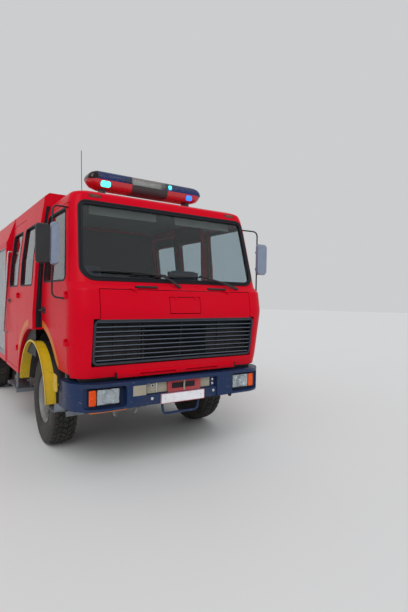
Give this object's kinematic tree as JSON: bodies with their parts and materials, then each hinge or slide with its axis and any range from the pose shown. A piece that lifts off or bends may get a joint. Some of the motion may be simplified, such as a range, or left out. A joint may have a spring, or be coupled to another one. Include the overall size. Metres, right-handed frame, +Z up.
{
  "type": "fire engine",
  "caption": "Red crew-cab fire engine with tilting front flap, slatted grille, wrapped bumper, light bar, roller-shutter equipment body and rear pump bay.",
  "frame": {"origin": "on the ground, midway along and across the overall box", "axes": "+Z up, the front faces -Y, +X is the vehicle's left side"},
  "size_m": [2.84, 7.4, 3.31],
  "materials": {
    "red_paint": "gloss",
    "navy_bumper": "satin",
    "grille_grey": "satin",
    "frame_black": "satin",
    "cast_black": "matte",
    "engine_grey": "matte",
    "window_glass": "clear",
    "lamp_glass": "clear",
    "lamp_lenses": "gloss",
    "blue_lens": "gloss",
    "bar_red": "gloss",
    "gasket_rubber": "matte",
    "tyre_rubber": "matte",
    "rim_grey": "satin",
    "yellow_paint": "gloss",
    "tread_plate": "satin",
    "shutter_metal": "satin",
    "cabin_plastic": "matte",
    "seat_cloth": "matte",
    "mirror_black": "satin",
    "exhaust_steel": "matte",
    "pump_metal": "satin",
    "ladder_metal": "satin"
  },
  "bodies": {
    "root": {"cab_front": "red_paint", "cab_roof": "red_paint", "lower_panel": "red_paint", "crew_sides": "red_paint", "crew_roof": "red_paint", "crew_rear_wall": "red_paint", "body_sides": "red_paint", "body_roof": "red_paint", "body_core": "shutter_metal", "bumper": "navy_bumper", "chassis_frame": "frame_black", "leaf_springs": "cast_black", "front_axle": "cast_black", "rear_axle": "cast_black", "powertrain": "engine_grey", "windscreen": "window_glass", "crew_windows": "window_glass", "windscreen_gasket": "gasket_rubber", "headlamps": "lamp_glass", "small_lamps": "lamp_lenses", "light_bar": "bar_red", "light_bar_lenses": "blue_lens", "antenna": "mirror_black", "mudguards": "yellow_paint", "steps": "tread_plate", "rear_step": "tread_plate", "shutters": "shutter_metal", "cab_floor": "cabin_plastic", "dashboard": "cabin_plastic", "steering_wheel": "mirror_black", "seats": "seat_cloth", "wipers": "mirror_black", "exhaust": "exhaust_steel", "fuel_tank": "frame_black", "pump_unit": "pump_metal", "roof_ladder": "ladder_metal"},
    "knuckle_left": {"knuckle_left": "cast_black"},
    "knuckle_right": {"knuckle_right": "cast_black"},
    "wheel_front_left": {"tyre_front_left": "tyre_rubber", "rim_front_left": "rim_grey"},
    "wheel_front_right": {"tyre_front_right": "tyre_rubber", "rim_front_right": "rim_grey"},
    "wheels_rear_left": {"tyres_rear_left": "tyre_rubber", "rims_rear_left": "rim_grey"},
    "wheels_rear_right": {"tyres_rear_right": "tyre_rubber", "rims_rear_right": "rim_grey"},
    "door_left": {"door_left": "red_paint", "door_glass_left": "window_glass", "mirror_left": "mirror_black"},
    "door_right": {"door_right": "red_paint", "door_glass_right": "window_glass", "mirror_right": "mirror_black"},
    "crew_door_left": {"crew_door_left": "red_paint", "crew_glass_left": "window_glass"},
    "crew_door_right": {"crew_door_right": "red_paint", "crew_glass_right": "window_glass"},
    "front_flap": {"front_flap": "red_paint", "grille": "grille_grey"},
    "flap_lid": {"flap_lid": "red_paint"},
    "rear_flap": {"rear_flap": "red_paint"}
  },
  "joints": [
    {"name": "steer_left", "type": "hinge", "parent": "root", "child": "knuckle_left", "pos_m": [0.8, -2.37, 0.52], "axis": [0, 0, 1], "range_deg": [-35, 35]},
    {"name": "steer_right", "type": "hinge", "parent": "root", "child": "knuckle_right", "pos_m": [-0.8, -2.37, 0.52], "axis": [0, 0, 1], "range_deg": [-35, 35]},
    {"name": "wheel_front_left_spin", "type": "hinge", "parent": "knuckle_left", "child": "wheel_front_left", "pos_m": [0.975, -2.37, 0.52], "axis": [1, 0, 0], "continuous": true},
    {"name": "wheel_front_right_spin", "type": "hinge", "parent": "knuckle_right", "child": "wheel_front_right", "pos_m": [-0.975, -2.37, 0.52], "axis": [1, 0, 0], "continuous": true},
    {"name": "wheels_rear_left_spin", "type": "hinge", "parent": "root", "child": "wheels_rear_left", "pos_m": [0.94, 1.23, 0.52], "axis": [1, 0, 0], "continuous": true},
    {"name": "wheels_rear_right_spin", "type": "hinge", "parent": "root", "child": "wheels_rear_right", "pos_m": [-0.94, 1.23, 0.52], "axis": [1, 0, 0], "continuous": true},
    {"name": "door_left_hinge", "type": "hinge", "parent": "root", "child": "door_left", "pos_m": [1.168, -3.45, 1.4], "axis": [0, 0, -1], "range_deg": [0, 70]},
    {"name": "door_right_hinge", "type": "hinge", "parent": "root", "child": "door_right", "pos_m": [-1.168, -3.45, 1.4], "axis": [0, 0, 1], "range_deg": [0, 70]},
    {"name": "crew_door_left_hinge", "type": "hinge", "parent": "root", "child": "crew_door_left", "pos_m": [1.256, -1.535, 1.5], "axis": [0, 0, -1], "range_deg": [0, 75]},
    {"name": "crew_door_right_hinge", "type": "hinge", "parent": "root", "child": "crew_door_right", "pos_m": [-1.256, -1.535, 1.5], "axis": [0, 0, 1], "range_deg": [0, 75]},
    {"name": "front_flap_hinge", "type": "hinge", "parent": "root", "child": "front_flap", "pos_m": [0, -3.65, 1.8], "axis": [-1, 0, 0], "range_deg": [0, 75]},
    {"name": "flap_lid_hinge", "type": "hinge", "parent": "front_flap", "child": "flap_lid", "pos_m": [-0.115, -3.6575, 1.732], "axis": [-1, 0, 0], "range_deg": [0, 85]},
    {"name": "rear_flap_hinge", "type": "hinge", "parent": "root", "child": "rear_flap", "pos_m": [0, 3.637, 2.38], "axis": [1, 0, 0], "range_deg": [0, 90]}
  ],
  "couplings": [
    {"joint": "steer_right", "follows": "steer_left", "ratio": 1}
  ]
}
